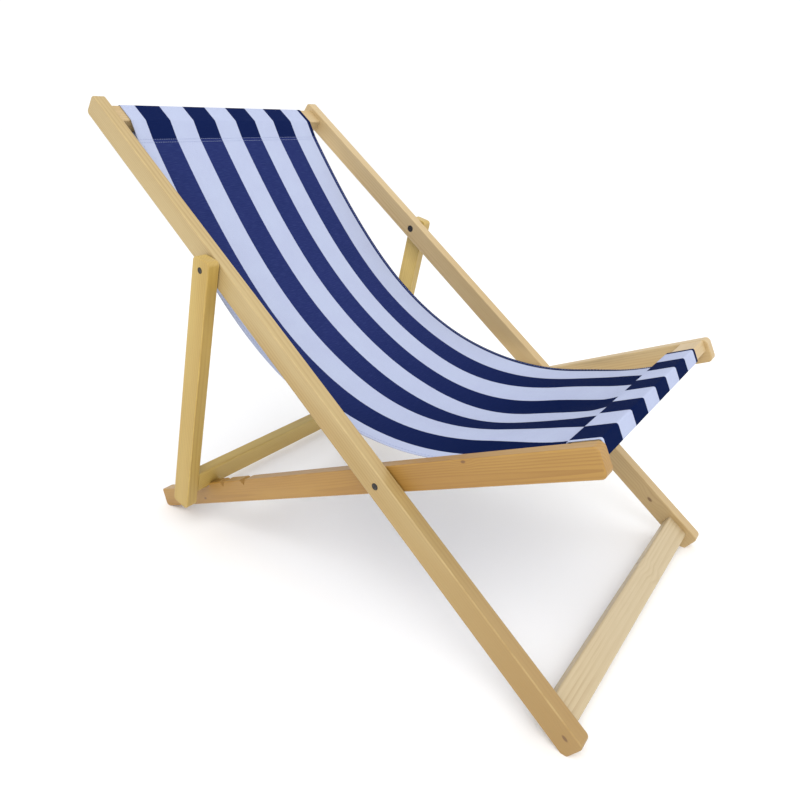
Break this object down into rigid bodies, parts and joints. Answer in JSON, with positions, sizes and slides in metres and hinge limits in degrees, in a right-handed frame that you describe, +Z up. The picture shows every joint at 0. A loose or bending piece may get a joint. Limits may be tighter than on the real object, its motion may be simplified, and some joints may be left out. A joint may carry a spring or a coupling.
{
  "type": "folding deck chair",
  "caption": "Folding deck chair: three hinged timber frames, the rear prop resting in notches, and a sagging canvas sling from top bar to front bar.",
  "frame": {"origin": "on the floor, under the middle of the chair's box at rest", "axes": "+X to the sitter's left, -Y to the front, +Z up"},
  "size_m": [0.6014, 1.0102, 0.8006],
  "materials": {
    "back_timber": "clear satin lacquer over pine",
    "seat_timber": "clear satin lacquer over pine",
    "prop_timber": "clear satin lacquer over pine",
    "bar_timber": "clear satin lacquer over pine",
    "dowel": "plain beech",
    "canvas": "plain woven canvas in lengthwise navy and white stripes",
    "hardware": "blackened steel"
  },
  "bodies": {
    "back_frame": {"back_dowels": "dowel", "back_rail_left": "back_timber", "back_rail_right": "back_timber", "foot_board": "bar_timber", "prop_pivot_bolt_left": "hardware", "prop_pivot_bolt_right": "hardware", "prop_pivot_nut_left": "hardware", "prop_pivot_nut_right": "hardware", "prop_pivot_washer_left": "hardware", "prop_pivot_washer_right": "hardware", "seat_pivot_bolt_left": "hardware", "seat_pivot_bolt_right": "hardware", "seat_pivot_nut_left": "hardware", "seat_pivot_nut_right": "hardware", "seat_pivot_washer_left": "hardware", "seat_pivot_washer_right": "hardware", "sling_panel": "canvas", "sling_top_sleeve": "canvas", "top_bar": "bar_timber"},
    "prop_frame": {"prop_crossbar": "bar_timber", "prop_dowels": "dowel", "prop_leg_left": "prop_timber", "prop_leg_right": "prop_timber"},
    "seat_frame": {"seat_dowels": "dowel", "seat_front_bar": "bar_timber", "seat_rail_left": "seat_timber", "seat_rail_right": "seat_timber", "seat_stretcher": "bar_timber", "sling_front_sleeve": "canvas"}
  },
  "joints": [
    {"name": "seat_fold", "type": "hinge", "parent": "back_frame", "child": "seat_frame", "pos_m": [0, -0.17025, 0.2645], "axis": [1, 0, 0], "range_deg": [0, 58], "deforming": ["sling_panel"]},
    {"name": "prop_swing", "type": "hinge", "parent": "back_frame", "child": "prop_frame", "pos_m": [0, 0.1723, 0.5331], "axis": [1, 0, 0], "range_deg": [0, 111.36]}
  ],
  "couplings": [
    {"joint": "prop_swing", "follows": "seat_fold", "ratio": 1.92}
  ]
}
